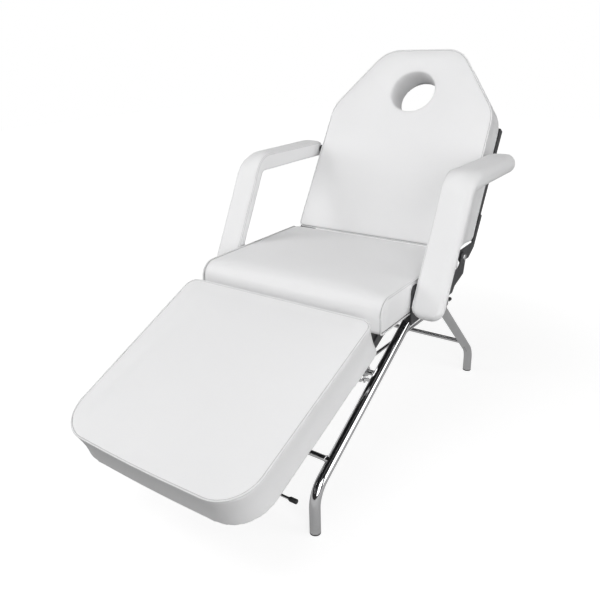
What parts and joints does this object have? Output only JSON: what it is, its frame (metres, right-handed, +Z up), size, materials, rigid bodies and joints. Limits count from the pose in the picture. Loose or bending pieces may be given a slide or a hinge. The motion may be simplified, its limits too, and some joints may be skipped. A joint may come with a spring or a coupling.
{
  "type": "tattoo chair",
  "caption": "Padded reclining bed chair: flat seat, tapered backrest with a face hole, hinged leg rest, linked padded armrests, crossed bent-tube chrome legs.",
  "frame": {"origin": "middle of the overall box, on the floor", "axes": "+X to the right hand of a viewer at the foot end, +Y towards the head, +Z up"},
  "size_m": [0.8236, 1.521, 1.1398],
  "materials": {
    "upholstery": "soft satin synthetic leather",
    "board": "plywood under black lining cloth",
    "chrome": "polished",
    "dark_steel": "powder coated",
    "black_plastic": "matte"
  },
  "bodies": {
    "base": {"leg_front_left": "chrome", "leg_rear_left": "chrome", "leg_front_right": "chrome", "leg_rear_right": "chrome", "foot_glides": "black_plastic", "crossbar_front": "chrome", "crossbar_middle": "chrome", "crossbar_rear": "chrome", "seat_rail_left": "dark_steel", "seat_rail_right": "dark_steel", "seat_cross_front": "dark_steel", "seat_cross_rear": "dark_steel", "rail_plugs": "black_plastic", "seat_side_plate_left": "dark_steel", "seat_side_plate_right": "dark_steel", "seat_board": "board", "seat_cushion": "upholstery", "recline_pins": "chrome", "leg_hinge_pins": "chrome", "arm_seat_pins": "chrome", "rod_clamps": "chrome", "clamp_pins": "chrome"},
    "backrest": {"back_cushion": "upholstery", "back_board": "board", "back_tube_left": "dark_steel", "back_tube_right": "dark_steel", "back_cross_lower": "dark_steel", "back_cross_upper": "dark_steel", "back_hinge_plates": "dark_steel", "arm_brackets": "dark_steel", "arm_back_pins": "chrome", "back_lock_arms": "dark_steel", "back_lock_pins": "chrome"},
    "leg_rest": {"leg_cushion": "upholstery", "leg_board": "board", "leg_tube_left": "dark_steel", "leg_tube_right": "dark_steel", "leg_cross_front": "dark_steel", "leg_cross_rear": "dark_steel", "leg_hinge_plates": "dark_steel", "leg_lock_lugs": "dark_steel"},
    "back_rod": {"back_rod": "chrome", "back_rod_cap": "black_plastic"},
    "back_lock": {"back_lock_housing": "chrome"},
    "back_lever": {"back_release_lever": "chrome", "back_release_grip": "black_plastic"},
    "leg_rod": {"leg_rod": "chrome"},
    "leg_lock": {"leg_lock_housing": "chrome"},
    "leg_lever": {"leg_release_lever": "chrome", "leg_release_grip": "black_plastic"},
    "arm_lower_left": {"arm_lower_bar_left": "dark_steel", "arm_lower_pad_left": "upholstery"},
    "arm_upper_left": {"arm_upper_bar_left": "dark_steel", "arm_upper_pad_left": "upholstery"},
    "arm_lower_right": {"arm_lower_bar_right": "dark_steel", "arm_lower_pad_right": "upholstery"},
    "arm_upper_right": {"arm_upper_bar_right": "dark_steel", "arm_upper_pad_right": "upholstery"}
  },
  "joints": [
    {"name": "recline", "type": "hinge", "parent": "base", "child": "backrest", "pos_m": [0, 0.36258, 0.539], "axis": [1, 0, 0], "range_deg": [-60, 10]},
    {"name": "leg_rest_tilt", "type": "hinge", "parent": "base", "child": "leg_rest", "pos_m": [0, -0.12042, 0.459], "axis": [1, 0, 0], "range_deg": [-23, 9]},
    {"name": "back_rod_swing", "type": "hinge", "parent": "base", "child": "back_rod", "pos_m": [0.22, -0.10042, 0.341], "axis": [1, 0, 0], "range_deg": [-3, 10]},
    {"name": "back_lock_slide", "type": "slide", "parent": "back_rod", "child": "back_lock", "axis": [0, 0.9995, -0.0308], "range_m": [-0.213, 0.037]},
    {"name": "back_release", "type": "hinge", "parent": "back_lock", "child": "back_lever", "pos_m": [0.22, 0.41958, 0.325], "axis": [0, 0.9995, -0.0308], "range_deg": [0, 20], "stiffness_Nm_per_rad": 0.4},
    {"name": "leg_rod_swing", "type": "hinge", "parent": "base", "child": "leg_rod", "pos_m": [0.15, -0.12642, 0.30542], "axis": [1, 0, 0], "range_deg": [-25, 11]},
    {"name": "leg_lock_slide", "type": "slide", "parent": "leg_rod", "child": "leg_lock", "axis": [0, -0.9748, -0.2231], "range_m": [-0.03, 0.064]},
    {"name": "leg_release", "type": "hinge", "parent": "leg_lock", "child": "leg_lever", "pos_m": [0.15, -0.52096, 0.21511], "axis": [0, -0.9748, -0.2231], "range_deg": [-20, 0], "stiffness_Nm_per_rad": 0.4},
    {"name": "arm_lower_left_swing", "type": "hinge", "parent": "base", "child": "arm_lower_left", "pos_m": [-0.3195, 0.00958, 0.539], "axis": [1, 0, 0], "range_deg": [-61, 11]},
    {"name": "arm_upper_left_swing", "type": "hinge", "parent": "arm_lower_left", "child": "arm_upper_left", "pos_m": [-0.3195, 0.15558, 0.8175], "axis": [1, 0, 0], "range_deg": [-11, 61]},
    {"name": "arm_lower_right_swing", "type": "hinge", "parent": "base", "child": "arm_lower_right", "pos_m": [0.3195, 0.00958, 0.539], "axis": [1, 0, 0], "range_deg": [-61, 11]},
    {"name": "arm_upper_right_swing", "type": "hinge", "parent": "arm_lower_right", "child": "arm_upper_right", "pos_m": [0.3195, 0.15558, 0.8175], "axis": [1, 0, 0], "range_deg": [-11, 61]}
  ],
  "couplings": [
    {"joint": "back_rod_swing", "follows": "recline", "ratio": -0.15844},
    {"joint": "back_lock_slide", "follows": "recline", "m_per_rad": 0.20174},
    {"joint": "leg_rod_swing", "follows": "leg_rest_tilt", "ratio": 1.0207},
    {"joint": "leg_lock_slide", "follows": "leg_rest_tilt", "m_per_rad": -0.1524},
    {"joint": "arm_lower_left_swing", "follows": "recline", "ratio": 1},
    {"joint": "arm_upper_left_swing", "follows": "recline", "ratio": -1},
    {"joint": "arm_lower_right_swing", "follows": "recline", "ratio": 1},
    {"joint": "arm_upper_right_swing", "follows": "recline", "ratio": -1}
  ]
}
